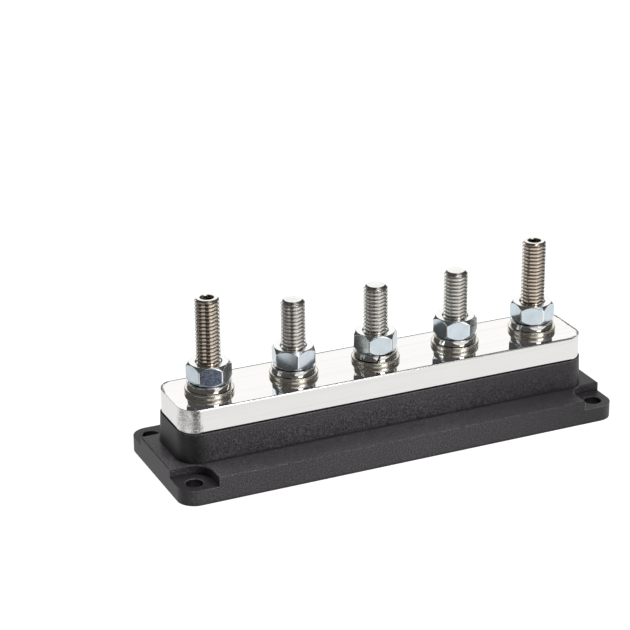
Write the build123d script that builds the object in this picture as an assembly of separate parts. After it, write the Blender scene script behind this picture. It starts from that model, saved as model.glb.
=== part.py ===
from build123d import *
import os
from math import radians, tan

# Five-terminal bus bar on a moulded insulating base. Millimetres, +Z up.
# The origin is the middle of the base's underside, with the bar along X.

# Terminals: five threaded studs in a row
terminal_count = 5
terminal_pitch = 29.24
thread_diameter = 8.0
thread_depth = 0.77
stud_clearance = 0.05
hole_clearance = 0.2

# Bar: solid tinned copper, drawn with rounded long edges and milled at its ends
bar_width = 25.66
bar_thickness = 7.93
bar_end_margin = 13.67
bar_edge_radius = 0.45
bar_corner_radius = 6.5
bar_corner_overcut = 0.08

# Base: a flat plate with four lowered feet, and a pedestal under the bar
plate_height = 8.25
plate_edge_radius = 0.5
end_shelf = 4.65
side_shelf = 11.37
foot_height = 5.15
foot_radius = 5.8
screw_head_room = 6.2
mounting_hole_diameter = 5.5
mounting_hole_chamfer = 0.25
pedestal_height = 10.05
pedestal_lip = 0.45
pedestal_draft = 2.0
pedestal_rim_chamfer = 0.25

# Underside of the base: a ribbed hollow
skin = 2.4
rib_thickness = 1.6
boss_wall = 1.8
pocket_floor_thickness = 1.8
hex_pocket_clearance = 0.3
head_pocket_depth = 5.6
captive_nut_recess = 3.9

# Studs: socketed end studs, and hexagon-head bolts between them
end_stud_proud = 0.75
end_stud_above_bar = 31.92
end_stud_tip_chamfer = 0.6
socket_across_flats = 4.0
socket_depth = 5.0
socket_mouth_chamfer = 0.25
bolt_length = 34.2
bolt_head_height = 5.3
head_chamfer_angle = 30.0
bolt_tip_chamfer = 1.05

# Nuts and washers
hex_across_flats = 13.0
nut_height = 6.5
hex_face_diameter = 12.7
nut_chamfer_angle = 50.0
nut_mouth_chamfer = 0.35
flat_washer_diameter = 16.0
flat_washer_thickness = 1.6
flat_washer_edge_chamfer = 0.35
spring_washer_diameter = 14.5
spring_washer_clearance = 0.15
spring_washer_thickness = 2.3
spring_washer_slit = 1.1
spring_washer_slit_lean = 20.0

# How the five terminals are turned, in degrees from +X: a corner of each nut, each washer's slit
nut_angles = (44.2, 18.2, 50.3, 42.7, 31.7)
slit_angles = (75.0, 120.0, -108.0, 40.0, 100.0)

# Places worked out from the sizes above
stud_radius = thread_diameter / 2
fitted_hole_radius = stud_radius + stud_clearance
clear_hole_radius = stud_radius + hole_clearance
terminal_xs = [(i - (terminal_count - 1) / 2) * terminal_pitch for i in range(terminal_count)]
end_xs = (terminal_xs[0], terminal_xs[-1])
middle_xs = terminal_xs[1:-1]
bar_length = terminal_xs[-1] - terminal_xs[0] + 2 * bar_end_margin
bar_bottom = plate_height + pedestal_height
bar_top = bar_bottom + bar_thickness
pedestal_top_length = bar_length + 2 * pedestal_lip
pedestal_top_width = bar_width + 2 * pedestal_lip
pedestal_top_radius = bar_corner_radius + pedestal_lip
pedestal_spread = pedestal_height * tan(radians(pedestal_draft))
base_length = pedestal_top_length + 2 * pedestal_spread + 2 * end_shelf
base_width = pedestal_top_width + 2 * pedestal_spread + 2 * side_shelf
hole_x = base_length / 2 - foot_radius
hole_y = base_width / 2 - foot_radius
captive_nut_seat = captive_nut_recess + nut_height
head_pocket_floor = bar_bottom - head_pocket_depth
boss_radius = (hex_across_flats + hex_pocket_clearance) / 3 ** 0.5 + boss_wall
spring_washer_seat = bar_top + flat_washer_thickness
nut_seat = spring_washer_seat + spring_washer_thickness
end_stud_top = bar_top + end_stud_above_bar


def upright(profile, low, high):
    """A flat profile raised straight up from one height to another."""
    return Pos(0, 0, low) * extrude(profile, high - low)


def hexagon(across_flats, angle=0.0):
    """A hexagon by its width across flats, with one corner at the given angle from +X."""
    return RegularPolygon(across_flats / 2, 6, major_radius=False, rotation=angle)


def round_bar(radius, low, high):
    """An upright cylinder between two heights."""
    return upright(Circle(radius), low, high)


def corner_places():
    """The four mounting hole centres."""
    return [(sx * hole_x, sy * hole_y) for sx in (-1, 1) for sy in (-1, 1)]


def foot_pocket(x, y):
    """The room above one lowered foot, rounded about its hole and open to both outer sides."""
    side = 2 * (screw_head_room + foot_radius)
    offset = side / 2 - screw_head_room
    outline = RectangleRounded(side, side, screw_head_room)
    centre_x = x + offset * (1 if x > 0 else -1)
    centre_y = y + offset * (1 if y > 0 else -1)
    return Pos(centre_x, centre_y) * upright(outline, foot_height, 2 * plate_height)


def plate():
    """The mounting plate with its four lowered feet and softened top edges."""
    body = upright(RectangleRounded(base_length, base_width, foot_radius), 0, plate_height)
    for x, y in corner_places():
        body -= foot_pocket(x, y)
    rim = body.edges().group_by(Axis.Z)[-1]
    return fillet(rim, plate_edge_radius)


def pedestal():
    """The drafted block that carries the bar, widening from the bar's seat down to the plate."""
    seat = RectangleRounded(pedestal_top_length, pedestal_top_width, pedestal_top_radius)
    block = extrude(seat, pedestal_height, taper=-pedestal_draft)
    block = Pos(0, 0, bar_bottom) * Rot(180, 0, 0) * block
    rim = block.edges().group_by(Axis.Z)[-1]
    return chamfer(rim, pedestal_rim_chamfer)


def underside_hollow():
    """The space under the base: a deep trough and two shallow ones, divided by ribs and bosses."""
    trough_length = pedestal_top_length - 2 * skin
    trough_width = pedestal_top_width - 2 * skin
    hollow = upright(RectangleRounded(trough_length, trough_width, pedestal_top_radius - skin), 0, bar_bottom - skin)
    side_length = 2 * (hole_x - screw_head_room - skin)
    side_inner = pedestal_top_width / 2
    side_width = base_width / 2 - skin - side_inner
    side_trough = upright(Rectangle(side_length, side_width), 0, plate_height - skin)
    for side in (-1, 1):
        hollow += Pos(0, side * (side_inner + side_width / 2)) * side_trough
    hollow -= upright(Rectangle(base_length, rib_thickness), 0, bar_bottom)
    rib_count = 2 * terminal_count - 1
    for i in range(rib_count):
        x = (i - (rib_count - 1) / 2) * terminal_pitch / 2
        hollow -= Pos(x, 0) * upright(Rectangle(rib_thickness, base_width), 0, bar_bottom)
    for x in end_xs:
        hollow -= Pos(x, 0) * round_bar(boss_radius, 0, bar_bottom)
    for x in middle_xs:
        hollow -= Pos(x, 0) * round_bar(boss_radius, head_pocket_floor - pocket_floor_thickness, bar_bottom)
    return hollow


def base_moulding():
    """Base in one moulding: plate, pedestal, ribbed underside, and pockets for heads and nuts."""
    body = plate() + pedestal()
    body -= underside_hollow()
    pocket = hexagon(hex_across_flats + hex_pocket_clearance)
    for x in middle_xs:
        body -= Pos(x, 0) * upright(pocket, head_pocket_floor, bar_bottom)
    for x in end_xs:
        body -= Pos(x, 0) * upright(pocket, 0, captive_nut_seat)
        body -= Pos(x, 0) * round_bar(clear_hole_radius, captive_nut_seat, bar_bottom)
    for x, y in corner_places():
        body -= Pos(x, y) * chamfered_hole(mounting_hole_diameter / 2, mounting_hole_chamfer, 0, foot_height)
    return body


def chamfered_hole(radius, size, low, high):
    """The material a drilled hole takes away, with both mouths chamfered."""
    hole = round_bar(radius, low, high)
    hole += Pos(0, 0, low + size / 2) * Cone(radius + size, radius, size)
    hole += Pos(0, 0, high - size / 2) * Cone(radius, radius + size, size)
    return hole


def bus_bar():
    """The bar: a drawn section with small edge radii, its ends milled round, drilled for the studs."""
    section = fillet(Rectangle(bar_width, bar_thickness).vertices(), bar_edge_radius)
    blank = extrude(Plane.YZ * section, bar_length, both=True)
    blank = Pos(0, 0, (bar_bottom + bar_top) / 2) * blank
    ends = RectangleRounded(bar_length, bar_width + 2 * bar_corner_overcut, bar_corner_radius)
    bar = blank & upright(ends, bar_bottom, bar_top)
    for x in end_xs:
        bar -= Pos(x, 0) * round_bar(fitted_hole_radius, bar_bottom, bar_top)
    for x in middle_xs:
        bar -= Pos(x, 0) * round_bar(clear_hole_radius, bar_bottom, bar_top)
    return bar


def stud_shank(low, high, tip_chamfer):
    """A threaded length at its outside diameter, with the upper end chamfered."""
    shank = round_bar(stud_radius, low, high)
    return chamfer(shank.edges().group_by(Axis.Z)[-1], tip_chamfer)


def end_stud(x):
    """A headless stud, screwed through the bar into a nut under the base, with a hexagon socket on top."""
    low = captive_nut_recess - end_stud_proud
    stud = stud_shank(low, end_stud_top, end_stud_tip_chamfer)
    stud = chamfer(stud.edges().group_by(Axis.Z)[0], thread_depth)
    socket_floor = end_stud_top - socket_depth
    socket = upright(hexagon(socket_across_flats), socket_floor, end_stud_top)
    mouth_radius = socket_across_flats / 2 + socket_mouth_chamfer
    socket += Pos(0, 0, end_stud_top - socket_mouth_chamfer) * Cone(
        mouth_radius - socket_mouth_chamfer, mouth_radius + socket_mouth_chamfer, 2 * socket_mouth_chamfer)
    return Pos(x, 0) * (stud - socket)


def hex_blank(height, angle, chamfer_angle, both_faces):
    """A hexagon with its corners turned away on its lower face or on both."""
    corner_radius = hex_across_flats / 3 ** 0.5
    drop = (corner_radius - hex_face_diameter / 2) * tan(radians(chamfer_angle))
    face_radius = hex_face_diameter / 2
    top = [(corner_radius, height - drop), (face_radius, height)] if both_faces else [(corner_radius, height)]
    outline = Polyline((0, 0), (face_radius, 0), (corner_radius, drop), *top, (0, height), close=True)
    turned = revolve(Plane.XZ * make_face(outline), Axis.Z)
    return turned & upright(hexagon(hex_across_flats, angle), 0, height)


def stud_bolt(x):
    """A hexagon-head bolt standing up through the bar, its head in the pedestal's pocket."""
    head = Pos(0, 0, bar_bottom - bolt_head_height) * hex_blank(bolt_head_height, 0, head_chamfer_angle, False)
    shank = stud_shank(bar_bottom, bar_bottom + bolt_length, bolt_tip_chamfer)
    return Pos(x, 0) * (head + shank)


def nut(x, seat, angle):
    """A hexagon nut with both faces chamfered and the thread's mouths countersunk."""
    bore = chamfered_hole(fitted_hole_radius, nut_mouth_chamfer, 0, nut_height)
    return Pos(x, 0, seat) * (hex_blank(nut_height, angle, nut_chamfer_angle, True) - bore)


def flat_washer(x):
    """A flat washer with eased outer edges, lying on the bar."""
    disc = round_bar(flat_washer_diameter / 2, bar_top, bar_top + flat_washer_thickness)
    disc = chamfer(disc.edges().filter_by(GeomType.CIRCLE), flat_washer_edge_chamfer)
    return Pos(x, 0) * (disc - round_bar(clear_hole_radius, bar_top, spring_washer_seat))


def spring_washer(x, slit_angle):
    """A split spring washer, pressed flat by its nut: a ring of square wire with a leaning slit."""
    outer, inner = spring_washer_diameter / 2, stud_radius + spring_washer_clearance
    width, mean_radius = outer - inner, (outer + inner) / 2
    ring = upright(Circle(outer) - Circle(inner), spring_washer_seat, nut_seat)
    slit = Rot(spring_washer_slit_lean, 0, 0) * Box(2 * width, spring_washer_slit, 3 * spring_washer_thickness)
    ring -= Pos(mean_radius, 0, (spring_washer_seat + nut_seat) / 2) * slit
    return Pos(x, 0) * Rot(0, 0, slit_angle) * ring


def pieces():
    """Every separate piece of the bus bar by name."""
    named = {"base_moulding": base_moulding(), "bus_bar": bus_bar()}
    for side, x in zip(("left", "right"), end_xs):
        named[f"end_stud_{side}"] = end_stud(x)
        named[f"captive_nut_{side}"] = nut(x, captive_nut_recess, 0)
    for number, x in enumerate(middle_xs, start=2):
        named[f"stud_bolt_{number}"] = stud_bolt(x)
    for number, x in enumerate(terminal_xs, start=1):
        named[f"flat_washer_{number}"] = flat_washer(x)
        named[f"spring_washer_{number}"] = spring_washer(x, slit_angles[number - 1])
        named[f"terminal_nut_{number}"] = nut(x, nut_seat, nut_angles[number - 1])
    return named


os.makedirs("parts", exist_ok=True)
for name, solid in pieces().items():
    export_step(solid, f"parts/{name}.step")
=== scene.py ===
from math import atan2, cos, hypot, pi, radians, sin, tan

import bmesh
import bpy
from bpy.props import FloatProperty, FloatVectorProperty, IntProperty, PointerProperty
from bpy.types import Operator, Panel, PropertyGroup
from mathutils import Matrix, Vector


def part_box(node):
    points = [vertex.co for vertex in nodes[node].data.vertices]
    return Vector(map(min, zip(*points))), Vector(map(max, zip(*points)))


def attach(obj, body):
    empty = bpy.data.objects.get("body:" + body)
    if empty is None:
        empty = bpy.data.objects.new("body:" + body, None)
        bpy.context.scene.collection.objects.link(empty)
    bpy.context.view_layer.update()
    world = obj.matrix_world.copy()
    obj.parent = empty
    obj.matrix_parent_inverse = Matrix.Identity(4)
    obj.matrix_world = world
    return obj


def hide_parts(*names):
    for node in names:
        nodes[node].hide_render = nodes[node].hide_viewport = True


bl_info = {
    "name": "Bus Bar",
    "version": (1, 0, 0),
    "blender": (4, 5, 0),
    "location": "View3D > Sidebar > Bus Bar",
    "description": "Dresses a five-terminal bus bar with threads, nuts, washers, finishes and a plain studio",
    "category": "Object",
}

# Metres throughout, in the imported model's own frame: the bar runs along X and the studs stand up +Z.
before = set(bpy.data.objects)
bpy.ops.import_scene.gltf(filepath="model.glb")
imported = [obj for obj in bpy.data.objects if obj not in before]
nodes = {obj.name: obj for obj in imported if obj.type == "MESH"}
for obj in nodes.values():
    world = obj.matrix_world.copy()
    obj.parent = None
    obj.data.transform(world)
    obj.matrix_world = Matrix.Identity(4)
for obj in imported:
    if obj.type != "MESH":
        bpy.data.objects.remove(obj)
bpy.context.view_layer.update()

END_STUDS = ("left", "right")
STUD_BOLTS = (2, 3, 4)
TERMINALS = (1, 2, 3, 4, 5)
FIXED_BODY = "base_assembly"

# Half of one thread, from the middle of its crest (0) to the middle of its root (1): place along, depth.
THREAD_FLANK = (
    (0.0, 0.0), (0.08, 0.008), (0.14, 0.045), (0.21, 0.13),
    (0.5, 0.5), (0.76, 0.87), (0.86, 0.96), (0.93, 0.99))

# Where in a thread the film on its flanks and the one at its root begin and are full.
FILM_DEPTHS = ((0.1, 0.4), (0.5, 0.85))

# The zinc's tints beside its main colour, the second a painted highlight on the nuts' softened edges, and the
# film on one nut's face, dark and light.
ZINC_BLUSH = (0.86, 0.82, 0.92)
ZINC_EDGE_HIGHLIGHT = (0.98, 0.98, 0.97)
VIOLET_FILM = ((0.15, 0.22, 0.40), (0.40, 0.42, 0.55))
FILM_FLECK = (0.72, 0.86, 0.92)

# Steps round a turned piece and round a split washer, and the angle past which an edge counts as bent.
TURNED_STEPS = 96
SPLIT_STEPS = 88
BENT = radians(24)

# Depth of the eased lip round a stud's socket, and of the drill's point at the bottom of it.
SOCKET_LIP = 0.00008
SOCKET_POINT = 0.0006

# Soft borders in metres of the nylon's painted shade: past a hole's rim, above a foot, and below the bar's
# seat.
HOLE_BORDER = (0.00002, 0.00012)
FOOT_BORDER = (0.00004, 0.0002)
SEAT_BORDER = (-0.00012, -0.00002)

# Distances within and past which the base's painted shade at its corner and the bar's scuffed corner are full
# and gone.
PAINTED_SHADE_CORNER = (0.004, 0.008)
SCUFFED_CORNER = (0.005, 0.009)

# Radius that shading gives sharp edges and the nylon's painted highlights, reach of the painted shade in
# inner corners, and the samples for both.
EASED_EDGE = 0.0003
INNER_CORNER = 0.0013
SOFT_SAMPLES = 6

# Heights by which the bar's upper face falls: by the square of the way into its end border, and its side's.
END_FALL = -450000.0
SIDE_FALL = -260.0

CAMERA_PLACE = (-0.283489, -0.581868, 0.310297)
CAMERA_YAW = radians(24.236)
CAMERA_PITCH = radians(22.532)
CAMERA_ROLL = radians(-0.452)
CAMERA_SENSOR = 36.0
CAMERA_LENS = 2158.07 / 630 * CAMERA_SENSOR

LAMP_TARGET = Vector((0, 0, 0.02))
LAMP_SIZE = 0.5
KEY_PLACE = (0.50, -0.60, 0.78)
FILL_PLACE = (-0.53, 0.50, 0.82)


def node_box(name):
    """A node's middle in plan, and its lowest and highest heights."""
    low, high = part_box(name)
    return (low.x + high.x) / 2, (low.y + high.y) / 2, low.z, high.z


def length(name, description, default, least=0.0):
    """A property that holds a length in metres."""
    return FloatProperty(
        name=name, description=description, default=default, min=least, precision=5, unit="LENGTH")


def angle_property(name, description, degrees):
    """A property that holds an angle, given in degrees."""
    return FloatProperty(name=name, description=description, default=radians(degrees), unit="ROTATION")


def turns_property(name, description, degrees):
    """A property that holds one angle for each terminal, given in degrees."""
    return FloatVectorProperty(
        name=name, description=description, size=5, unit="ROTATION", default=[radians(a) for a in degrees])


def colour_property(name, description, default):
    """A property that holds a colour."""
    return FloatVectorProperty(
        name=name, description=description, subtype="COLOR", size=3, min=0, max=1, default=default)


def amount(name, description, default, **more):
    """A property that holds an amount of at least 0."""
    return FloatProperty(name=name, description=description, default=default, min=0, **more)


class HardwareSizes(PropertyGroup):
    """Sizes of the screw threads, nuts, washers, base and bar."""

    thread_pitch: length("Thread Pitch", "Rise of the thread in one turn", 0.00125, 0.0005)
    thread_radius: length("Thread Radius", "Outside radius of the thread", 0.004)
    thread_depth: length("Thread Depth", "Depth from crest to root", 0.00077)
    thread_steps: IntProperty(
        name="Thread Steps", description="Steps in one turn of the thread", default=48, min=24, max=96)
    end_stud_chamfer: length("End Stud Chamfer", "Chamfer round the top of the end studs", 0.0006)
    bolt_chamfer: length("Bolt Chamfer", "Chamfer round the tips of the middle studs", 0.00105)
    socket_across_flats: length("Socket Across Flats", "Width of the end studs' sockets", 0.004)
    socket_depth: length("Socket Depth", "Depth of the end studs' sockets", 0.005)
    hex_across_flats: length("Nut Across Flats", "Width of the nuts and bolt heads", 0.013)
    nut_face_radius: length("Nut Face Radius", "Radius of the flat ring on a nut's faces", 0.00635)
    nut_bore_radius: length("Nut Bore Radius", "Radius of a nut's bore", 0.00405)
    nut_mouth: length("Nut Mouth", "Countersink at each end of a nut's bore", 0.00035)
    nut_chamfer_angle: angle_property("Nut Chamfer Angle", "Slope of a nut's turned corners", 50)
    nut_edge: length("Nut Edge", "Width of the softened edges between a nut's walls", 0.00032)
    nut_arc: length("Nut Arc", "Width of the softened edges at a nut's chamfers", 0.00017)
    nut_rim: length("Nut Rim", "Width of the softened edges of a nut's faces and bore", 0.00006)
    nut_corners: turns_property(
        "Nut Corners", "Direction of one corner of each nut, from +X", (44.2, 18.2, 50.3, 42.7, 31.7))
    foot_height: length("Foot Height", "Height of the lowered feet round the holes", 0.00515)
    hole_radius: length("Hole Radius", "Radius of the mounting holes", 0.00275)
    foot_radius: length("Foot Radius", "Radius of a foot's corner, round its hole's middle", 0.0058)
    bar_corner: length("Bar Corner", "Radius of the bar's milled ends in plan", 0.0065)
    bar_end_roll: length("Bar End Roll", "Width of the rolled border at the bar's ends", 0.001)
    bar_side_roll: length("Bar Side Roll", "Width of the rolled border along the bar's back", 0.0009)
    washer_bore: length("Flat Washer Bore", "Radius of the flat washers' holes", 0.0042)
    washer_roll: length("Flat Washer Roll", "Radius of the flat washers' rolled rims", 0.0005)
    washer_ease: length("Flat Washer Ease", "Width of the flat washers' eased edges", 0.00012)
    split_bore: length("Split Washer Bore", "Radius of the split washers' holes", 0.00415)
    split_round: length("Split Washer Round", "Radius of the split washers' outer edges", 0.0003)
    split_rise: length("Split Washer Rise", "How far a split washer's ends stand apart", 0.00022)
    split_gap: length("Split Washer Gap", "Width of a split washer's slit", 0.0005)
    split_lean: angle_property("Split Washer Lean", "Lean of a split washer's slit", 20)
    split_places: turns_property(
        "Split Washer Slits", "Direction of each split washer's slit, from +X", (75, 120, -108, 40, 100))


class FinishColours(PropertyGroup):
    """Colours of the bus bar's finishes."""

    nylon: colour_property("Black Nylon", "Colour of the moulded base", (0.041, 0.038, 0.041))
    tin: colour_property("Tin Plate", "Colour of the bar's bright plating", (0.93, 0.92, 0.90))
    zinc: colour_property("Zinc Plate", "Bluish colour of the nuts", (0.76, 0.86, 0.92))
    zinc_face: colour_property("Zinc Face", "Paler colour of the nuts' pressed faces", (0.94, 0.94, 0.92))
    end_stud: colour_property("End Stud Steel", "Colour of the two end studs", (0.98, 0.94, 0.88))
    end_stud_flank: colour_property(
        "End Stud Flanks", "Brownish film on the end studs' thread flanks", (0.86, 0.81, 0.74))
    end_stud_root: colour_property(
        "End Stud Roots", "Brown film at the end studs' thread roots", (0.34, 0.24, 0.16))
    bolt: colour_property("Middle Stud Steel", "Colour of the three middle studs", (0.95, 0.95, 0.92))
    bolt_flank: colour_property(
        "Middle Stud Flanks", "Grey film on the middle studs' thread flanks", (0.93, 0.92, 0.89))
    bolt_root: colour_property(
        "Middle Stud Roots", "Darker film at the middle studs' thread roots", (0.46, 0.43, 0.38))
    flat_washer: colour_property("Flat Washer Steel", "Colour of the flat washers", (0.92, 0.87, 0.77))
    split_washer: colour_property("Split Washer Steel", "Colour of the split washers", (0.93, 0.91, 0.88))


class StudioLight(PropertyGroup):
    """Strengths of the studio's lamps and surroundings."""

    key_power: amount("Key Power", "Power of the lamp over the front right", 16.0, unit="POWER")
    fill_power: amount("Fill Power", "Power of the lamp over the back left", 11.0, unit="POWER")
    ambient: amount("Ambient", "Strength of the surroundings on matt surfaces", 0.14)
    floor_glow: amount("Floor Glow", "Share of the floor's white that no shadow takes away", 0.87, max=1)


# Nodes and finishes

def cleared(holder, output):
    """A material's or world's own node tree, emptied, with its output node."""
    holder.use_nodes = True
    holder.node_tree.nodes.clear()
    return holder.node_tree, holder.node_tree.nodes.new(output)


def new_material(name, metallic=0.0):
    """A new material with its node tree and surface node."""
    material = bpy.data.materials.new(name)
    tree, output = cleared(material, "ShaderNodeOutputMaterial")
    surface = tree.nodes.new("ShaderNodeBsdfPrincipled")
    surface.inputs["Metallic"].default_value = metallic
    tree.links.new(surface.outputs["BSDF"], output.inputs["Surface"])
    return material, tree, surface


def dress_surface(tree, surface, tone, roughness, normal=None):
    """Links a surface's colour, its roughness and, where it has them, its own normals."""
    for name, value in (("Base Color", tone), ("Roughness", roughness), ("Normal", normal)):
        if value is not None:
            tree.links.new(value, surface.inputs[name])


def written(tree, name):
    """A value written on the mesh itself."""
    node = tree.nodes.new("ShaderNodeAttribute")
    node.attribute_name = name
    return node.outputs["Fac"]


def object_pattern(tree, scale):
    """The object's own coordinates, stretched by a scale."""
    mapping = tree.nodes.new("ShaderNodeMapping")
    mapping.inputs["Scale"].default_value = scale
    tree.links.new(own_place(tree), mapping.inputs["Vector"])
    return mapping.outputs["Vector"]


def stretched_noise(tree, stretch, detail, rough, distortion=0.0):
    """A noise pattern on the object's own coordinates, stretched."""
    return noise(tree, object_pattern(tree, stretch), 1.0, detail, rough, distortion)


def noise(tree, vector, scale, detail=2.0, rough=0.5, distortion=0.0):
    """A noise pattern on a vector."""
    node = tree.nodes.new("ShaderNodeTexNoise")
    node.inputs["Scale"].default_value = scale
    node.inputs["Detail"].default_value = detail
    node.inputs["Roughness"].default_value = rough
    node.inputs["Distortion"].default_value = distortion
    tree.links.new(vector, node.inputs["Vector"])
    return node.outputs["Fac"]


def spread(tree, value, low, high, to_low=0.0, to_high=1.0):
    """A value spread from one range to another, held inside it."""
    node = tree.nodes.new("ShaderNodeMapRange")
    node.inputs["From Min"].default_value = low
    node.inputs["From Max"].default_value = high
    node.inputs["To Min"].default_value = to_low
    node.inputs["To Max"].default_value = to_high
    tree.links.new(value, node.inputs["Value"])
    return node.outputs["Result"]


def feed(tree, value, socket):
    """Links a value that is a socket, and sets one that isn't."""
    if isinstance(value, bpy.types.NodeSocket):
        tree.links.new(value, socket)
    else:
        socket.default_value = value


def arithmetic(tree, kind, first, second=0.0):
    """One operation on two values, each a socket or a number."""
    node = tree.nodes.new("ShaderNodeMath")
    node.operation = kind
    for socket, value in zip(node.inputs, (first, second)):
        feed(tree, value, socket)
    return node.outputs["Value"]


def product(tree, first, *others):
    """The product of two or more values."""
    for other in others:
        first = arithmetic(tree, "MULTIPLY", first, other)
    return first


def total(tree, first, *others):
    """The sum of two or more values."""
    for other in others:
        first = arithmetic(tree, "ADD", first, other)
    return first


def inverse(tree, share):
    """What is left of 1 beside a share."""
    return arithmetic(tree, "SUBTRACT", 1.0, share)


def vector_step(tree, kind, first, second=None):
    """One operation on a vector, with a second vector where it takes one."""
    node = tree.nodes.new("ShaderNodeVectorMath")
    node.operation = kind
    feed(tree, first, node.inputs[0])
    if second is not None:
        feed(tree, second, node.inputs[1])
    return node.outputs["Value"] if kind in ("LENGTH", "DISTANCE", "DOT_PRODUCT") else node.outputs["Vector"]


def own_place(tree):
    """A place in the object's own coordinates."""
    return tree.nodes.new("ShaderNodeTexCoord").outputs["Object"]


def separate(tree, vector):
    """A vector's three parts."""
    node = tree.nodes.new("ShaderNodeSeparateXYZ")
    tree.links.new(vector, node.inputs["Vector"])
    return node.outputs["X"], node.outputs["Y"], node.outputs["Z"]


def blend_colours(tree, share, first, second):
    """Two colours mixed by a share, each a socket or three numbers."""
    node = tree.nodes.new("ShaderNodeMix")
    node.data_type = "RGBA"
    sockets = [s for s in node.inputs if s.type == "RGBA"]
    for socket, value in zip(sockets, (first, second)):
        feed(tree, value if isinstance(value, bpy.types.NodeSocket) else (*value, 1.0), socket)
    tree.links.new(share, node.inputs[0])
    return next(s for s in node.outputs if s.type == "RGBA")


def bump(tree, height, distance, strength=1.0, under=None):
    """A bump made from a height pattern."""
    node = tree.nodes.new("ShaderNodeBump")
    node.inputs["Strength"].default_value = strength
    node.inputs["Distance"].default_value = distance
    tree.links.new(height, node.inputs["Height"])
    if under is not None:
        tree.links.new(under, node.inputs["Normal"])
    return node.outputs["Normal"]


def tinted(colour, factor):
    """A colour made lighter or darker."""
    return tuple(min(1.0, c * factor) for c in colour)


def shaded(tree, share, tone, colour, factor):
    """A tone turned by a share into a colour made lighter or darker."""
    return blend_colours(tree, share, tone, tinted(colour, factor))


def eased_edges(tree):
    """Normals that turn softly round the edges of a shape."""
    node = tree.nodes.new("ShaderNodeBevel")
    node.samples = SOFT_SAMPLES
    node.inputs["Radius"].default_value = EASED_EDGE
    return node.outputs["Normal"]


def nearby_open(tree):
    """How open a surface is close by: 1 on a flat or an outer edge, and less in an inner corner."""
    node = tree.nodes.new("ShaderNodeAmbientOcclusion")
    node.samples = SOFT_SAMPLES
    node.inputs["Distance"].default_value = INNER_CORNER
    return node.outputs["AO"]


def black_nylon(sizes, colours):
    """Moulded nylon with a spark-eroded grain, painted highlights along its edges, and painted shade in inner
    corners, on the feet's tops, in the holes and under the bar.
    """
    material, tree, surface = new_material("black_nylon_grain")
    nylon, bar, base = colours.nylon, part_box("bus_bar")[0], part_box("base_moulding")[1]
    x, _, z = separate(tree, own_place(tree))
    vector = object_pattern(tree, (1, 1, 1))
    coarse = noise(tree, vector, 2400, 2.0, 0.65)
    fine = noise(tree, vector, 4200, 1.0, 0.5)
    cloud = noise(tree, vector, 70, 3.0, 0.55)
    grain = total(tree, product(tree, coarse, 0.6), product(tree, fine, 0.4))
    tone = blend_colours(tree, spread(tree, cloud, 0.3, 0.7), tinted(nylon, 0.92), tinted(nylon, 1.08))
    tone = shaded(tree, spread(tree, grain, 0.5, 0.66), tone, nylon, 3.2)
    tone = shaded(tree, spread(tree, grain, 0.5, 0.36), tone, nylon, 0.1)

    # Painted shade: a darker right end, left end and front left corner
    tone = shaded(tree, spread(tree, x, 0.01, 0.07, 0, 0.6), tone, nylon, 0.25)
    corner = (bar.x + sizes.bar_corner * 0.3, bar.y + sizes.bar_corner * 0.3, bar.z * 0.7)
    painted_shade = arithmetic(tree, "MAXIMUM", near_place(tree, corner, *PAINTED_SHADE_CORNER), facing(tree, (-1, 0, 0), 0.6))
    tone = shaded(tree, product(tree, painted_shade, 0.7), tone, nylon, 0.2)

    # Painted highlights along the edges, then painted shade in inner corners, on the feet's tops, in the
    # holes and in the crevice under the bar
    eased = eased_edges(tree)
    flat = tree.nodes.new("ShaderNodeNewGeometry").outputs["True Normal"]
    edge = spread(tree, vector_step(tree, "DOT_PRODUCT", eased, flat), 0.985, 0.9)
    open_near = nearby_open(tree)
    tone = shaded(tree, product(tree, edge, spread(tree, open_near, 0.86, 0.96)), tone, nylon, 5.0)
    tone = shaded(tree, spread(tree, open_near, 0.9, 0.5), tone, nylon, 0.12)
    low_place = spread(tree, z, *(sizes.foot_height + b for b in FOOT_BORDER), 1, 0)
    tone = shaded(tree, product(tree, low_place, facing_up(tree)), tone, nylon, 0.45)
    middle = (base.x - sizes.foot_radius, base.y - sizes.foot_radius)
    tone = shaded(tree, in_hole(tree, middle, sizes.hole_radius), tone, nylon, 0.12)
    crevice = spread(tree, z, *(bar.z + b for b in SEAT_BORDER))
    tone = shaded(tree, crevice, tone, nylon, 0.1)

    surface.inputs["IOR"].default_value = 1.5
    surface.inputs["Specular IOR Level"].default_value = 0.36
    dull = total(tree, spread(tree, grain, 0.35, 0.65, 0.38, 0.5), product(tree, crevice, 0.45))
    dress_surface(tree, surface, tone, dull, bump(tree, grain, 0.00006, 0.9, eased))
    return material


def in_hole(tree, middle, radius):
    """1 inside the four upright holes at plus or minus a place in plan, and 0 outside them."""
    place = vector_step(tree, "ABSOLUTE", own_place(tree))
    place = vector_step(tree, "SUBTRACT", place, (*middle, 0))
    place = vector_step(tree, "MULTIPLY", place, (1, 1, 0))
    return spread(tree, vector_step(tree, "LENGTH", place), *(radius + b for b in HOLE_BORDER), 1, 0)


def outside_outline(tree, node_name, corner):
    """How far a place lies outside a rounded node's outline in plan, in metres; inside it is negative."""
    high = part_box(node_name)[1]
    place = vector_step(tree, "ABSOLUTE", own_place(tree))
    place = vector_step(tree, "SUBTRACT", place, (high.x - corner, high.y - corner, 1.0))
    place = vector_step(tree, "MAXIMUM", place, (0, 0, 0))
    return arithmetic(tree, "SUBTRACT", vector_step(tree, "LENGTH", place), corner)


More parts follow.
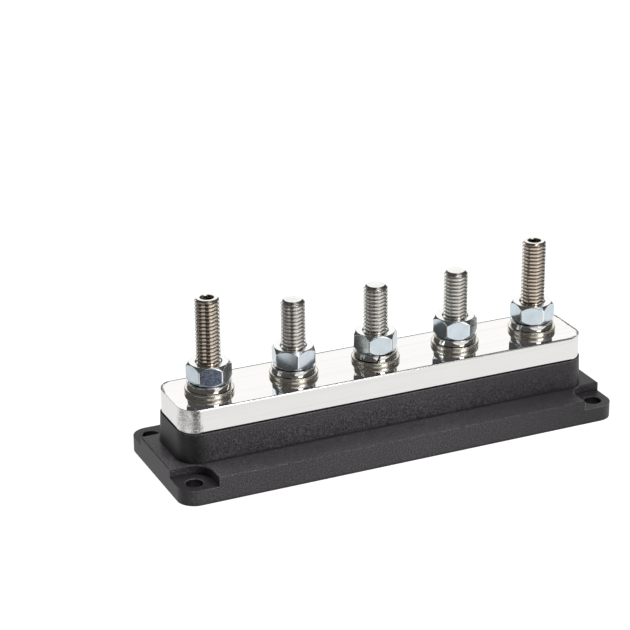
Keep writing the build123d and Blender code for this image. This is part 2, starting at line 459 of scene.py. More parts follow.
def bright_tin(sizes, colours):
    """Bright tin plate with drawn lines along it, its upper edges rolled over and one corner scuffed."""
    material, tree, surface = new_material("bright_tin_drawn", 1.0)
    tin, (low, high) = colours.tin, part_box("bus_bar")
    arc = high.x - sizes.bar_corner
    x, y, z = separate(tree, own_place(tree))
    drawn = stretched_noise(tree, (14, 1500, 1500), 3.0, 0.6)
    cut = stretched_noise(tree, (260, 260, 2200), 2.0, 0.6)
    streaks = stretched_noise(tree, (9, 900, 900), 3.0, 0.6)
    scuffs = stretched_noise(tree, (420, 420, 700), 4.0, 0.7, 1.5)
    haze = noise(tree, object_pattern(tree, (1, 1, 1)), 55, 3.0, 0.6)
    torn = stretched_noise(tree, (900, 300, 300), 3.0, 0.7)
    outside = outside_outline(tree, "bus_bar", sizes.bar_corner)
    up = facing_up(tree)
    along = arithmetic(tree, "ABSOLUTE", x)
    straight = spread(tree, along, arc - 0.003, arc + 0.004, 1, 0)
    back = spread(tree, y, -0.002, 0.002)

    # The upper face falls away in a ragged border at the right and back corners, and along the back edge
    corners = arithmetic(tree, "MAXIMUM", spread(tree, x, 0, 0.01), spread(tree, y, 0.0, 0.008))
    at_end = product(tree, inverse(tree, straight), corners)
    in_end = total(tree, outside, spread(tree, torn, 0.3, 0.7, -0.0005, 0.0004), sizes.bar_end_roll)
    in_end = arithmetic(tree, "MAXIMUM", in_end)
    in_side = arithmetic(tree, "MAXIMUM", total(tree, outside, sizes.bar_side_roll))
    end_fall = product(tree, product(tree, in_end, in_end), product(tree, at_end, END_FALL))
    side_fall = product(tree, in_side, product(tree, straight, back, SIDE_FALL))
    fall = product(tree, total(tree, end_fall, side_fall), up)

    # The front left corner's wall is scuffed, from the arc's end on
    scuffed_place = (low.x + sizes.bar_corner * 0.6, low.y + sizes.bar_corner * 0.15, low.z + 0.003)
    scuffed = product(tree, near_place(tree, scuffed_place, *SCUFFED_CORNER), inverse(tree, up))
    dented = product(tree, scuffed, spread(tree, along, arc, arc + 0.0006))
    scuffed = product(tree, scuffed, spread(tree, along, arc, arc + 0.0002))
    lower = spread(tree, z, low.z + 0.0018, low.z + 0.0045, 1, 0)
    outer = spread(tree, along, high.x - sizes.bar_corner * 0.8, high.x - sizes.bar_corner * 0.5)
    ground = product(tree, arithmetic(tree, "MAXIMUM", lower, outer), 0.4)
    flaked = total(tree, ground, spread(tree, scuffs, 0.50, 0.58, 0, 0.5))
    flaked = product(tree, flaked, spread(tree, scuffed, 0.15, 0.7))

    # Its tone, gloss and relief, with a painted dark reflection along the front edge
    tone = shaded(tree, spread(tree, haze, 0.35, 0.7), tin, tin, 0.975)
    tone = shaded(tree, spread(tree, streaks, 0.5, 0.75), tone, tin, 0.93)
    # The dark line along the front top edge is a painted reflection.
    rim = product(tree, spread(tree, outside, -0.0008, -0.00065), up)
    front = product(tree, inverse(tree, back), straight)
    tone = shaded(tree, product(tree, rim, front), tone, tin, 0.16)
    gloss = total(tree, spread(tree, haze, 0.35, 0.7, 0.015, 0.04), spread(tree, drawn, 0.45, 0.8, 0.0, 0.03))
    gloss = total(tree, gloss, product(tree, flaked, 0.6))
    shape = bump(tree, fall, 0.001, 1.0, eased_edges(tree))
    shape = bump(tree, product(tree, dented, arithmetic(tree, "SUBTRACT", scuffs, 0.5)), 0.00014, 1.0, shape)
    shape = bump(tree, cut, 0.000003, 0.25, shape)
    dress_surface(tree, surface, tone, gloss, bump(tree, drawn, 0.000003, 0.35, shape))
    return material


def facing_up(tree):
    """How far a surface faces straight up or down: 1 where it does, and 0 on a wall."""
    height = separate(tree, tree.nodes.new("ShaderNodeNewGeometry").outputs["True Normal"])[2]
    return spread(tree, arithmetic(tree, "ABSOLUTE", height), 0.9, 0.99)


def facing(tree, direction, least):
    """1 where a surface faces a direction, and 0 where it turns away from it."""
    normal = tree.nodes.new("ShaderNodeNewGeometry").outputs["Normal"]
    share = vector_step(tree, "DOT_PRODUCT", normal, direction)
    return spread(tree, share, least, least + (1 - least) * 0.6)


def near_place(tree, place, inner, outer):
    """How near a surface lies to a place: 1 within the inner distance, and 0 past the outer one."""
    return spread(tree, vector_step(tree, "DISTANCE", own_place(tree), place), inner, outer, 1.0, 0.0)


def blue_zinc(colours, stained, outwards):
    """Clear-passivated zinc: bluish walls, painted highlights on its softened edges, paler pressed faces, and
    one face with a mottled violet film.
    """
    material, tree, surface = new_material("blue_zinc_plate", 1.0)
    zinc, vector = colours.zinc, object_pattern(tree, (1, 1, 1))
    cloud = noise(tree, vector, 170, 3.0, 0.6)
    mottle = noise(tree, vector, 1500, 2.0, 0.65)
    fleck = noise(tree, vector, 2600, 1.0, 0.5)
    wave = noise(tree, vector, 210, 1.0, 0.4)
    blush = noise(tree, vector, 75, 2.0, 0.5)
    wall = blend_colours(tree, spread(tree, cloud, 0.35, 0.65), tinted(zinc, 0.86), zinc)
    wall = blend_colours(tree, spread(tree, blush, 0.55, 0.8, 0, 0.5), wall, ZINC_BLUSH)
    # The softened edges get a painted highlight.
    wall = blend_colours(tree, written(tree, "edge_highlight"), wall, ZINC_EDGE_HIGHLIGHT)
    tone = blend_colours(tree, facing_up(tree), wall, colours.zinc_face)
    stain = product(tree, near_place(tree, stained, 0.0045, 0.0052), facing(tree, outwards, 0.99))
    violet = blend_colours(tree, spread(tree, mottle, 0.36, 0.62), *VIOLET_FILM)
    violet = blend_colours(tree, spread(tree, fleck, 0.55, 0.68, 0, 0.9), violet, FILM_FLECK)
    tone = blend_colours(tree, stain, tone, violet)
    gloss = total(tree, spread(tree, cloud, 0.3, 0.7, 0.11, 0.18), product(tree, stain, 0.2))
    relief = bump(tree, wave, 0.00006, 0.5)
    dress_surface(tree, surface, tone, gloss, bump(tree, mottle, 0.000006, 0.25, relief))
    return material


def plain_steel(name, colour, low_gloss, high_gloss, dirt=0.8, lines=None, groove=(), face=1.0):
    """Bare steel, slightly uneven, with fine lines where it was turned or rolled and a film in its thread."""
    material, tree, surface = new_material(name, 1.0)
    cloud = noise(tree, object_pattern(tree, (1, 1, 1)), 260, 3.0, 0.6)
    tone = blend_colours(tree, spread(tree, cloud, 0.3, 0.7), tinted(colour, dirt), colour)
    depth = written(tree, "groove")
    for (start, full), film in zip(FILM_DEPTHS, groove):
        tone = blend_colours(tree, spread(tree, depth, start, full), tone, film)
    share = spread(tree, facing_up(tree), 0, 1, 1.0, face)
    roughness = product(tree, share, spread(tree, cloud, 0.3, 0.7, high_gloss, low_gloss))
    relief = None
    if lines is not None:
        relief = bump(tree, stretched_noise(tree, lines, 2.0, 0.6), 0.000006, 0.35)
    dress_surface(tree, surface, tone, roughness, relief)
    return material


# Shapes

def placed(name, data):
    """A new object in the scene."""
    made = bpy.data.objects.new(name, data)
    bpy.context.scene.collection.objects.link(made)
    return made


def mesh_from(bm, name):
    """A mesh made from a bmesh, which is then freed."""
    mesh = bpy.data.meshes.new(name)
    bm.to_mesh(mesh)
    bm.free()
    return mesh


def finish_piece(bm, name, material, body, stands_for, sharp=32):
    """Makes a piece from a bmesh, its faces turned out, on its body and in place of its node."""
    bmesh.ops.recalc_face_normals(bm, faces=bm.faces)
    mesh = mesh_from(bm, name)
    mesh.shade_smooth()
    mesh.set_sharp_from_angle(angle=radians(sharp))
    mesh.materials.append(material)
    piece = placed(name, mesh)
    even = piece.modifiers.new("Flat Faces", "WEIGHTED_NORMAL")
    even.keep_sharp = True
    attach(piece, body)
    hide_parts(stands_for)


def chain(bm, points):
    """A chain of edges through points given as radius and height, in the XZ plane."""
    corners = [bm.verts.new((r, 0, z)) for r, z in points]
    edges = [bm.edges.new(pair) for pair in zip(corners, corners[1:])]
    return corners + edges


def is_corner(element):
    """Whether a bmesh element is a vertex."""
    return isinstance(element, bmesh.types.BMVert)


def close_chain(bm, outline):
    """Adds the edge that closes a chain made from points."""
    corners = [g for g in outline if is_corner(g)]
    outline.append(bm.edges.new((corners[-1], corners[0])))


def wound(bm, outline, rise, angle, steps, merged):
    """Winds an outline round the Z axis by an angle, rising a little at each step."""
    bmesh.ops.spin(
        bm, geom=outline, cent=(0, 0, 0), axis=(0, 0, 1), dvec=(0, 0, rise / steps), angle=angle, steps=steps,
        use_merge=merged, use_duplicate=False)


def turned(bm, points):
    """A closed outline turned once round the Z axis."""
    outline = chain(bm, points)
    close_chain(bm, outline)
    wound(bm, outline, 0.0, 2 * pi, TURNED_STEPS, True)


def slice_off(bm, height, upward):
    """Cuts away what is above a height, or below it."""
    bmesh.ops.bisect_plane(
        bm, geom=bm.verts[:] + bm.edges[:] + bm.faces[:], dist=1e-8, plane_co=(0, 0, height),
        plane_no=(0, 0, 1 if upward else -1), clear_outer=True)


def rim_at(bm, height):
    """The open edges at a height."""
    return [e for e in bm.edges if e.is_boundary and all(abs(v.co.z - height) < 2e-6 for v in e.verts)]


def threaded_rod(bm, low, high, sizes, low_chamfer, high_chamfer):
    """A right-hand thread between two heights, cut square and chamfered at both ends. Its ends stay open."""
    pitch, radius, depth = sizes.thread_pitch, sizes.thread_radius, sizes.thread_depth
    half = [(0.5 * along, drop) for along, drop in THREAD_FLANK]
    outline = half + [(0.5, 1.0)] + [(1.0 - along, drop) for along, drop in reversed(half)]
    start = low - 2.2 * pitch
    profile = chain(bm, [(radius - depth * drop, start + pitch * along) for along, drop in outline])
    wound(bm, profile, pitch, 2 * pi, sizes.thread_steps, False)
    turns = 1
    while start + (turns - 1) * pitch < high:
        copied = bmesh.ops.duplicate(bm, geom=bm.verts[:] + bm.edges[:] + bm.faces[:])["geom"]
        bmesh.ops.translate(bm, vec=(0, 0, turns * pitch), verts=[g for g in copied if is_corner(g)])
        turns *= 2
        if turns >= 16:
            slice_off(bm, high + 2 * pitch, True)
    bmesh.ops.remove_doubles(bm, verts=bm.verts, dist=2e-6)
    slice_off(bm, high, True)
    slice_off(bm, low, False)
    for v in bm.verts:
        reach = off_axis(v.co)
        limit = radius - max(high_chamfer - (high - v.co.z), low_chamfer - (v.co.z - low), 0.0)
        if reach > limit:
            v.co.x *= limit / reach
            v.co.y *= limit / reach


def close_rim(bm, rim):
    """Closes an open rim with one face."""
    bmesh.ops.contextual_create(bm, geom=rim)


def step_inwards(bm, edges, place):
    """Extrudes an open rim and moves each new corner to where a function puts it."""
    made = bmesh.ops.extrude_edge_only(bm, edges=edges)["geom"]
    for v in (g for g in made if is_corner(g)):
        v.co = place(v.co)
    return [g for g in made if isinstance(g, bmesh.types.BMEdge) and g.is_boundary]


def off_axis(point):
    """How far a point lies from the Z axis."""
    return hypot(point.x, point.y)


def hexagon_reach(angle, corner, across_flats):
    """How far a hexagon's side lies from its middle in one direction."""
    side = (angle - corner) % (pi / 3) - pi / 6
    return across_flats / 2 / cos(side)


def at_reach(point, reach, height):
    """A point moved to a distance from the Z axis and to a height."""
    angle = atan2(point.y, point.x)
    return Vector((reach * cos(angle), reach * sin(angle), height))


def on_hexagon(point, height, across_flats):
    """A point moved straight out or in to a hexagon's side, and to a height."""
    return at_reach(point, hexagon_reach(atan2(point.y, point.x), 0, across_flats), height)


def hexagon_socket(bm, top, sizes):
    """Sinks a hexagon socket with a countersunk mouth into the open top of a stud."""
    flats, foot = sizes.socket_across_flats, top - sizes.socket_depth
    mouth = flats / 3 ** 0.5
    lip = top - SOCKET_LIP
    rim = step_inwards(bm, rim_at(bm, top), lambda p: at_reach(p, mouth, top))
    rim = step_inwards(bm, rim, lambda p: at_reach(p, mouth - SOCKET_LIP / 2, lip))

    def cone_foot(p):
        reach = hexagon_reach(atan2(p.y, p.x), 0, flats)
        return on_hexagon(p, lip - (mouth - reach) * 0.9, flats)

    rim = step_inwards(bm, rim, cone_foot)
    rim = step_inwards(bm, rim, lambda p: on_hexagon(p, foot, flats))
    rim = step_inwards(bm, rim, lambda p: at_reach(p, flats * 0.08, foot - SOCKET_POINT))
    close_rim(bm, rim)


def mark_grooves(bm, high, sizes):
    """Writes how deep each corner of a threaded piece lies in its thread: 0 on a crest, 1 at a root."""
    layer = bm.verts.layers.float.new("groove")
    for v in bm.verts:
        depth = (sizes.thread_radius - off_axis(v.co)) / sizes.thread_depth
        in_thread = v.co.z < high - 0.00003 and depth < 1.2
        v[layer] = min(1.0, max(0.0, depth)) if in_thread else 0.0


def bent_edges(bm, test):
    """The edges where a shape bends and whose two ends pass a test."""
    bm.normal_update()
    return [e for e in bm.edges if e.calc_face_angle(0) > BENT and test(*(v.co for v in e.verts))]


def soften(bm, edges, width, segments, mark=None):
    """Rounds edges over, and marks the new strips on a layer."""
    made = bmesh.ops.bevel(
        bm, geom=edges, offset=width, offset_type="OFFSET", affect="EDGES", segments=segments, profile=0.5,
        material=-1, clamp_overlap=False)
    if mark is not None:
        for face in made["faces"]:
            for corner in face.loops:
                corner[mark] = 1.0


def moved(bm, x, y, z=0.0):
    """Moves everything in a bmesh."""
    bmesh.ops.translate(bm, vec=(x, y, z), verts=bm.verts)


def end_stud(side, sizes, material):
    """A threaded end stud with its hexagon socket."""
    node = f"end_stud_{side}"
    x, y, low, high = node_box(node)
    bm = bmesh.new()
    threaded_rod(bm, low, high, sizes, sizes.thread_depth, sizes.end_stud_chamfer)
    close_rim(bm, rim_at(bm, low))
    hexagon_socket(bm, high, sizes)
    mark_grooves(bm, high, sizes)
    moved(bm, x, y)
    finish_piece(bm, f"threaded_{node}", material, FIXED_BODY, node)


def stud_bolt(number, sizes, material):
    """A threaded middle stud with the hexagon head that the base holds."""
    node = f"stud_bolt_{number}"
    x, y, low, high = node_box(node)
    seat = node_box("bus_bar")[2]
    face = sizes.nut_face_radius
    bm = bmesh.new()
    threaded_rod(bm, seat, high, sizes, sizes.thread_depth, sizes.bolt_chamfer)
    rim = step_inwards(bm, rim_at(bm, high), lambda p: at_reach(p, off_axis(p) - 0.00015, high))
    close_rim(bm, rim)
    rim = step_inwards(bm, rim_at(bm, seat), lambda p: on_hexagon(p, seat, sizes.hex_across_flats))

    def chamfer_foot(p):
        reach = off_axis(p)
        return at_reach(p, reach, low + max(0.0, (reach - face) * tan(radians(30))))

    rim = step_inwards(bm, rim, chamfer_foot)
    rim = step_inwards(bm, rim, lambda p: at_reach(p, face, low))
    close_rim(bm, rim)
    mark_grooves(bm, high, sizes)
    moved(bm, x, y)
    finish_piece(bm, f"threaded_{node}", material, FIXED_BODY, node)


def hexagon_nut(name, node, body, corner, sizes, material):
    """A hexagon nut: turned from its outline, its outer wall then brought to the hexagon and its chamfers."""
    x, y, low, high = node_box(node)
    height = high - low
    flat, bore, mouth = sizes.nut_face_radius, sizes.nut_bore_radius, sizes.nut_mouth
    ring, wall = (bore + flat) / 2, sizes.hex_across_flats / 2
    middle = (flat + wall) / 2
    bm = bmesh.new()
    turned(bm, [
        (bore, mouth), (bore + mouth, 0), (ring, 0), (flat, 0), (wall, height * 0.2), (wall, height * 0.8),
        (flat, height), (ring, height), (bore + mouth, height), (bore, height - mouth)])
    bmesh.ops.rotate(bm, cent=(0, 0, 0), matrix=Matrix.Rotation(corner, 3, "Z"), verts=bm.verts)
    for v in bm.verts:
        if off_axis(v.co) > middle:
            reach = hexagon_reach(atan2(v.co.y, v.co.x), corner, sizes.hex_across_flats)
            drop = (reach - flat) * tan(sizes.nut_chamfer_angle)
            v.co = at_reach(v.co, reach, drop if v.co.z < height / 2 else height - drop)

    def upright(a, b):
        return abs(a.z - b.z) > height / 3

    def outer(a, b):
        return min(off_axis(a), off_axis(b)) > middle

    def inner(a, b):
        return max(off_axis(a), off_axis(b)) < middle

    # The new strips on the walls' and chamfers' edges are marked for a painted highlight.
    highlight_strips = bm.loops.layers.float.new("edge_highlight")
    soften(bm, bent_edges(bm, upright), sizes.nut_edge, 3, highlight_strips)
    soften(bm, bent_edges(bm, outer), sizes.nut_arc, 2, highlight_strips)
    soften(bm, bent_edges(bm, inner), sizes.nut_rim, 2)
    moved(bm, x, y, low)
    finish_piece(bm, name, material, body, node)


def round_corner(centre, radius, start, count=5):
    """Points round a quarter turn of a rounded corner."""
    angles = [start + pi / 2 * i / (count - 1) for i in range(count)]
    return [(centre[0] + radius * cos(a), centre[1] + radius * sin(a)) for a in angles]


def flat_washer(number, sizes, material):
    """A flat washer, blanked: its upper rim rolled over, its lower one nearly sharp."""
    node = f"flat_washer_{number}"
    x, y, low, high = node_box(node)
    lower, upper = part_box(node)
    outside, thick = (upper.x - lower.x) / 2, high - low
    bore, roll, ease = sizes.washer_bore, sizes.washer_roll, sizes.washer_ease
    points = [(bore + ease, 0), (outside - ease, 0), (outside - ease / 3, ease / 3)]
    points += [(outside, ease), (outside, thick - roll * 1.3)]
    points += round_corner((outside - roll, thick - roll), roll, 0)[1:]
    points += [(bore + ease, thick), (bore, thick - ease), (bore, ease)]
    bm = bmesh.new()
    turned(bm, points)
    moved(bm, x, y, low)
    name = f"rolled_flat_washer_{number}"
    finish_piece(bm, name, material, f"washers_{number}", node, sharp=38)


def split_washer(number, sizes, material):
    """A split spring washer: a rounded square wire wound almost once round, its two ends cut at a lean."""
    node = f"spring_washer_{number}"
    x, y, low, high = node_box(node)
    lower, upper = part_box(node)
    outside = max(upper.x - lower.x, upper.y - lower.y) / 2
    inside, rise, soft = sizes.split_bore, sizes.split_rise, sizes.split_round
    thick = high - low - rise
    points = round_corner((outside - soft, soft), soft, -pi / 2)
    points += round_corner((outside - soft, thick - soft), soft, 0)
    points += round_corner((inside + soft / 2, thick - soft / 2), soft / 2, pi / 2, 3)
    points += round_corner((inside + soft / 2, soft / 2), soft / 2, pi, 3)
    middle = (outside + inside) / 2
    gap = sizes.split_gap / middle
    bm = bmesh.new()
    outline = chain(bm, points)
    close_chain(bm, outline)
    wound(bm, outline, rise, 2 * pi - gap, SPLIT_STEPS, False)
    bmesh.ops.edgeloop_fill(bm, edges=[e for e in bm.edges if e.is_boundary])
    lean = tan(sizes.split_lean) / middle
    turn = sizes.split_places[number - 1] + gap / 2
    for v in bm.verts:
        angle = atan2(v.co.y, v.co.x) + turn + lean * (v.co.z - (thick + rise) / 2)
        reach = off_axis(v.co)
        v.co = Vector((reach * cos(angle), reach * sin(angle), v.co.z))
    moved(bm, x, y, low)
    name = f"split_washer_{number}"
    finish_piece(bm, name, material, f"washers_{number}", node, sharp=50)


# Studio

def camera_matrix():
    """Where the camera stands and how it is turned."""
    level = cos(CAMERA_PITCH)
    ahead = Vector((sin(CAMERA_YAW) * level, cos(CAMERA_YAW) * level, -sin(CAMERA_PITCH)))
    right = Vector((cos(CAMERA_YAW), -sin(CAMERA_YAW), 0))
    up = right.cross(ahead)
    across = cos(CAMERA_ROLL) * right + sin(CAMERA_ROLL) * up
    upward = -sin(CAMERA_ROLL) * right + cos(CAMERA_ROLL) * up
    turn = Matrix((across, upward, -ahead)).transposed().to_4x4()
    return Matrix.Translation(CAMERA_PLACE) @ turn


def add_camera():
    """The camera, at the photograph's place."""
    lens = bpy.data.cameras.new("studio_camera")
    lens.sensor_width = CAMERA_SENSOR
    lens.lens = CAMERA_LENS
    lens.clip_start = 0.01
    camera = placed("studio_camera", lens)
    camera.matrix_world = camera_matrix()
    bpy.context.scene.camera = camera


def add_lamp(name, place, power):
    """A soft square lamp turned towards the bus bar, left out of reflections."""
    light = bpy.data.lights.new(name, "AREA")
    light.shape = "SQUARE"
    light.size = LAMP_SIZE
    light.energy = power
    lamp = placed(name, light)
    lamp.location = place
    lamp.rotation_euler = (LAMP_TARGET - Vector(place)).to_track_quat("-Z", "Y").to_euler()
    lamp.visible_glossy = False
    lamp.visible_camera = False


# What polished metal sees above the floor. Each panel: its middle's azimuth and elevation, half its width
# and height, the width of its soft border, all in degrees, and its brightness.
SURROUND = 0.08
PANELS = (
    (66, 26, 30, 13, 5, 1.04),
    (22, 48, 10, 7, 6, 0.35),
    (20, 74, 24, 8, 4, 4.5),
    (-85, 46, 35, 11, 5, 0.7),
    (-84, 55, 9, 8, 4, 1.5),
    (-74, 22, 9, 11, 4, 3.0),
)
# The dark side of the studio, at the front left, for matt surfaces.
DARK_SIDE = (-125, 20, 35, 60, 30, 0.12)


def panel_share(tree, azimuth, elevation, panel):
    """How much of a panel a ray meets: 1 inside it, and 0 outside."""
    shares = []
    for angle, middle, half in ((azimuth, panel[0], panel[2]), (elevation, panel[1], panel[3])):
        away = arithmetic(tree, "ABSOLUTE", arithmetic(tree, "SUBTRACT", angle, radians(middle)))
        shares.append(spread(tree, away, radians(half), radians(half + panel[4]), 1.0, 0.0))
    return product(tree, *shares)


def weighed(tree, share, first, second):
    """Two values mixed by a share."""
    return total(tree, product(tree, inverse(tree, share), first), product(tree, share, second))


def studio_world(light):
    """White behind the object, even light on matt surfaces, and soft panels in the reflections."""
    world = bpy.data.worlds.new("plain_studio")
    bpy.context.scene.world = world
    tree, output = cleared(world, "ShaderNodeOutputWorld")
    path = tree.nodes.new("ShaderNodeLightPath")
    x, y, z = separate(tree, tree.nodes.new("ShaderNodeTexCoord").outputs["Generated"])
    azimuth = arithmetic(tree, "ARCTAN2", y, x)
    elevation = arithmetic(tree, "ARCSINE", z)
    seen = SURROUND
    for panel in PANELS:
        seen = weighed(tree, panel_share(tree, azimuth, elevation, panel), seen, panel[5])
    dark = panel_share(tree, azimuth, elevation, DARK_SIDE)
    matt = spread(tree, dark, 0.0, 1.0, light.ambient, light.ambient * DARK_SIDE[5])
    strength = weighed(tree, path.outputs["Is Glossy Ray"], matt, seen)
    strength = weighed(tree, path.outputs["Is Camera Ray"], strength, 1.0)
    back = tree.nodes.new("ShaderNodeBackground")
    back.inputs["Color"].default_value = (1, 1, 1, 1)
    tree.links.new(strength, back.inputs["Strength"])
    tree.links.new(back.outputs["Background"], output.inputs["Surface"])


# The floor in reflections: its brightness, less at the left and far left, with the borders in X between them.
FLOOR_SHEEN = 0.86
FLOOR_LEFT = 0.76
FLOOR_FAR_LEFT = 0.6
LEFT_BORDER = (-0.12, -0.07)
FAR_LEFT_BORDER = (-0.150, -0.125)

# A dark place on the floor, reflected in the studs and the bar's front left corner. It lies ahead of a corner
# by a distance, past an azimuth in degrees seen from that corner, and left of a slanted line.
DARK_CORNER = (-0.070, -0.012)
DARK_AHEAD = (-0.743, -0.669)
DARK_REACH = (0.021, 0.028)
DARK_AZIMUTHS = (-137, -131)
DARK_SLANT = -0.25
DARK_SLANT_BORDER = (-0.0378, -0.0345)
DARK_LEVEL = 0.09

# The floor's colour where the camera sees it lit, and its two where it lights the object.
FLOOR_LIT = (0.2, 0.2, 0.2)
FLOOR_UNDER = (0.45, 0.45, 0.45)
FLOOR_UNDER_DARK = (0.1, 0.1, 0.1)
FLOOR_HALF = 6.0


def mirrored_floor(tree):
    """The floor's brightness in reflections, and the share of its dark place in front."""
    x, y, _ = separate(tree, own_place(tree))
    across = arithmetic(tree, "SUBTRACT", x, DARK_CORNER[0])
    ahead = arithmetic(tree, "SUBTRACT", y, DARK_CORNER[1])
    reach = total(tree, product(tree, across, DARK_AHEAD[0]), product(tree, ahead, DARK_AHEAD[1]))
    azimuth = arithmetic(tree, "ARCTAN2", ahead, across)
    turned_in = spread(tree, azimuth, *(radians(a) for a in DARK_AZIMUTHS))
    left = spread(tree, total(tree, x, product(tree, y, DARK_SLANT)), *DARK_SLANT_BORDER, 1, 0)
    dark = product(tree, spread(tree, reach, *DARK_REACH), product(tree, turned_in, left))
    plain = spread(tree, x, *LEFT_BORDER, FLOOR_LEFT, FLOOR_SHEEN)
    plain = product(tree, plain, spread(tree, x, *FAR_LEFT_BORDER, FLOOR_FAR_LEFT / FLOOR_LEFT, 1.0))
    return weighed(tree, dark, plain, DARK_LEVEL), dark


def mixed(tree, share, first, second):
    """Two shaders mixed by a share."""
    node = tree.nodes.new("ShaderNodeMixShader")
    tree.links.new(share, node.inputs["Fac"])
    tree.links.new(first, node.inputs[1])
    tree.links.new(second, node.inputs[2])
    return node.outputs["Shader"]


def add_floor(light):
    """A plain white floor that keeps the object's soft shadow."""
    bm = bmesh.new()
    bmesh.ops.create_grid(bm, x_segments=1, y_segments=1, size=FLOOR_HALF)
    mesh = mesh_from(bm, "studio_floor")
    floor = placed("studio_floor", mesh)
    material = bpy.data.materials.new("floor_white")
    tree, output = cleared(material, "ShaderNodeOutputMaterial")
    path = tree.nodes.new("ShaderNodeLightPath")
    lit = tree.nodes.new("ShaderNodeBsdfDiffuse")
    lit.inputs["Color"].default_value = (*FLOOR_LIT, 1)
    glow = tree.nodes.new("ShaderNodeEmission")
    glow.inputs["Strength"].default_value = light.floor_glow
    shown = tree.nodes.new("ShaderNodeAddShader")
    tree.links.new(lit.outputs["BSDF"], shown.inputs[0])
    tree.links.new(glow.outputs["Emission"], shown.inputs[1])
    under = tree.nodes.new("ShaderNodeBsdfDiffuse")
    sheen = tree.nodes.new("ShaderNodeEmission")
    brightness, dark = mirrored_floor(tree)
    tree.links.new(brightness, sheen.inputs["Strength"])
    tree.links.new(blend_colours(tree, dark, FLOOR_UNDER, FLOOR_UNDER_DARK), under.inputs["Color"])
    chosen = mixed(tree, path.outputs["Is Glossy Ray"], under.outputs["BSDF"], sheen.outputs["Emission"])
    chosen = mixed(tree, path.outputs["Is Camera Ray"], chosen, shown.outputs["Shader"])
    tree.links.new(chosen, output.inputs["Surface"])
    mesh.materials.append(material)


# Operators

def settings(context):
    """The sizes and colours that the user has set."""
    return context.scene.bus_bar_sizes, context.scene.bus_bar_colours


def dress_node(name, material):
    """Gives a node that keeps its own shape its finish."""
    mesh = nodes[name].data
    mesh.materials.clear()
    mesh.materials.append(material)


class BUSBAR_OT_finish_base(Operator):
    """Give the moulded base its grained black nylon"""

    bl_idname = "busbar.finish_base"
    bl_label = "Base Moulding"

    def execute(self, context):
        dress_node("base_moulding", black_nylon(*settings(context)))
        return {"FINISHED"}


class BUSBAR_OT_finish_bar(Operator):
    """Give the bar its bright tin plate"""

    bl_idname = "busbar.finish_bar"
    bl_label = "Tinned Bar"

    def execute(self, context):
        dress_node("bus_bar", bright_tin(*settings(context)))
        return {"FINISHED"}


class BUSBAR_OT_end_studs(Operator):
    """Thread the two end studs and sink their sockets"""

    bl_idname = "busbar.end_studs"
    bl_label = "End Studs"

    def execute(self, context):
        sizes, colours = settings(context)
        films = (colours.end_stud_flank, colours.end_stud_root)
        material = plain_steel("end_stud_steel", colours.end_stud, 0.08, 0.14, 0.92, groove=films)
        for side in END_STUDS:
            end_stud(side, sizes, material)
        return {"FINISHED"}


class BUSBAR_OT_stud_bolts(Operator):
    """Thread the three middle studs"""

    bl_idname = "busbar.stud_bolts"
    bl_label = "Middle Studs"

    def execute(self, context):
        sizes, colours = settings(context)
        films = (colours.bolt_flank, colours.bolt_root)
        material = plain_steel("middle_stud_steel", colours.bolt, 0.14, 0.22, 0.9, groove=films)
        for number in STUD_BOLTS:
            stud_bolt(number, sizes, material)
        return {"FINISHED"}


class BUSBAR_OT_nuts(Operator):
    """Make the terminal nuts and the two nuts held under the base"""

    bl_idname = "busbar.nuts"
    bl_label = "Nuts"

    def execute(self, context):
        sizes, colours = settings(context)
        x, y, low, high = node_box("terminal_nut_1")
        front = sizes.nut_corners[0] - radians(150)
        wall = sizes.hex_across_flats / 2
        stained = (x + wall * cos(front), y + wall * sin(front), (low + high) / 2)
        material = blue_zinc(colours, stained, (cos(front), sin(front), 0))
        for number, corner in zip(TERMINALS, sizes.nut_corners):
            node = f"terminal_nut_{number}"
            hexagon_nut(f"zinc_nut_{number}", node, f"nut_{number}", corner, sizes, material)
        for side in END_STUDS:
            hexagon_nut(f"zinc_captive_nut_{side}", f"captive_nut_{side}", FIXED_BODY, 0.0, sizes, material)
        return {"FINISHED"}


class BUSBAR_OT_flat_washers(Operator):
    """Make the five flat washers"""

    bl_idname = "busbar.flat_washers"
    bl_label = "Flat Washers"

    def execute(self, context):
        sizes, colours = settings(context)
        lines = (1500, 1500, 300)
        material = plain_steel("flat_washer_steel", colours.flat_washer, 0.2, 0.3, 0.8, lines, face=0.3)
        for number in TERMINALS:
            flat_washer(number, sizes, material)
        return {"FINISHED"}


class BUSBAR_OT_split_washers(Operator):
    """Make the five split spring washers"""

    bl_idname = "busbar.split_washers"
    bl_label = "Split Washers"

    def execute(self, context):
        sizes, colours = settings(context)
        material = plain_steel("split_washer_steel", colours.split_washer, 0.05, 0.1, 0.85)
        for number in TERMINALS:
            split_washer(number, sizes, material)
        return {"FINISHED"}


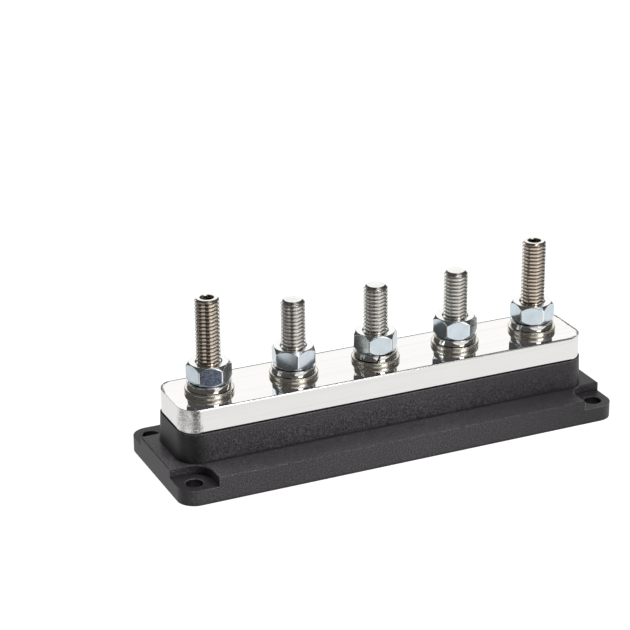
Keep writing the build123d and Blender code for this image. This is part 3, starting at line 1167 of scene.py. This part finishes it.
class BUSBAR_OT_studio(Operator):
    """Set up the camera, floor, lamps and surroundings"""

    bl_idname = "busbar.studio"
    bl_label = "Studio"

    def execute(self, context):
        light = context.scene.bus_bar_light
        add_camera()
        add_floor(light)
        studio_world(light)
        add_lamp("key_lamp", KEY_PLACE, light.key_power)
        add_lamp("fill_lamp", FILL_PLACE, light.fill_power)
        return {"FINISHED"}


STEPS = (
    BUSBAR_OT_finish_base,
    BUSBAR_OT_finish_bar,
    BUSBAR_OT_end_studs,
    BUSBAR_OT_stud_bolts,
    BUSBAR_OT_nuts,
    BUSBAR_OT_flat_washers,
    BUSBAR_OT_split_washers,
    BUSBAR_OT_studio,
)


class BUSBAR_PT_sidebar(Panel):
    """Sizes, colours and steps of the bus bar"""

    bl_idname = "BUSBAR_PT_sidebar"
    bl_label = "Bus Bar"
    bl_space_type = "VIEW_3D"
    bl_region_type = "UI"
    bl_category = "Bus Bar"

    def draw(self, context):
        scene = context.scene
        for group in (scene.bus_bar_sizes, scene.bus_bar_colours, scene.bus_bar_light):
            column = self.layout.column(align=True)
            for name in group.bl_rna.properties.keys():
                if name not in ("rna_type", "name"):
                    column.prop(group, name)
        for step in STEPS:
            self.layout.operator(step.bl_idname)


CLASSES = (HardwareSizes, FinishColours, StudioLight, *STEPS, BUSBAR_PT_sidebar)


def register():
    for cls in CLASSES:
        bpy.utils.register_class(cls)
    bpy.types.Scene.bus_bar_sizes = PointerProperty(type=HardwareSizes)
    bpy.types.Scene.bus_bar_colours = PointerProperty(type=FinishColours)
    bpy.types.Scene.bus_bar_light = PointerProperty(type=StudioLight)


def unregister():
    del bpy.types.Scene.bus_bar_light
    del bpy.types.Scene.bus_bar_colours
    del bpy.types.Scene.bus_bar_sizes
    for cls in reversed(CLASSES):
        bpy.utils.unregister_class(cls)


def main():
    """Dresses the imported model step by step."""
    register()
    bpy.context.scene.view_settings.view_transform = "Standard"
    bpy.ops.busbar.finish_base()
    bpy.ops.busbar.finish_bar()
    bpy.ops.busbar.end_studs()
    bpy.ops.busbar.stud_bolts()
    bpy.ops.busbar.nuts()
    bpy.ops.busbar.flat_washers()
    bpy.ops.busbar.split_washers()
    bpy.ops.busbar.studio()
    bpy.context.view_layer.update()


if __name__ == "__main__":
    main()
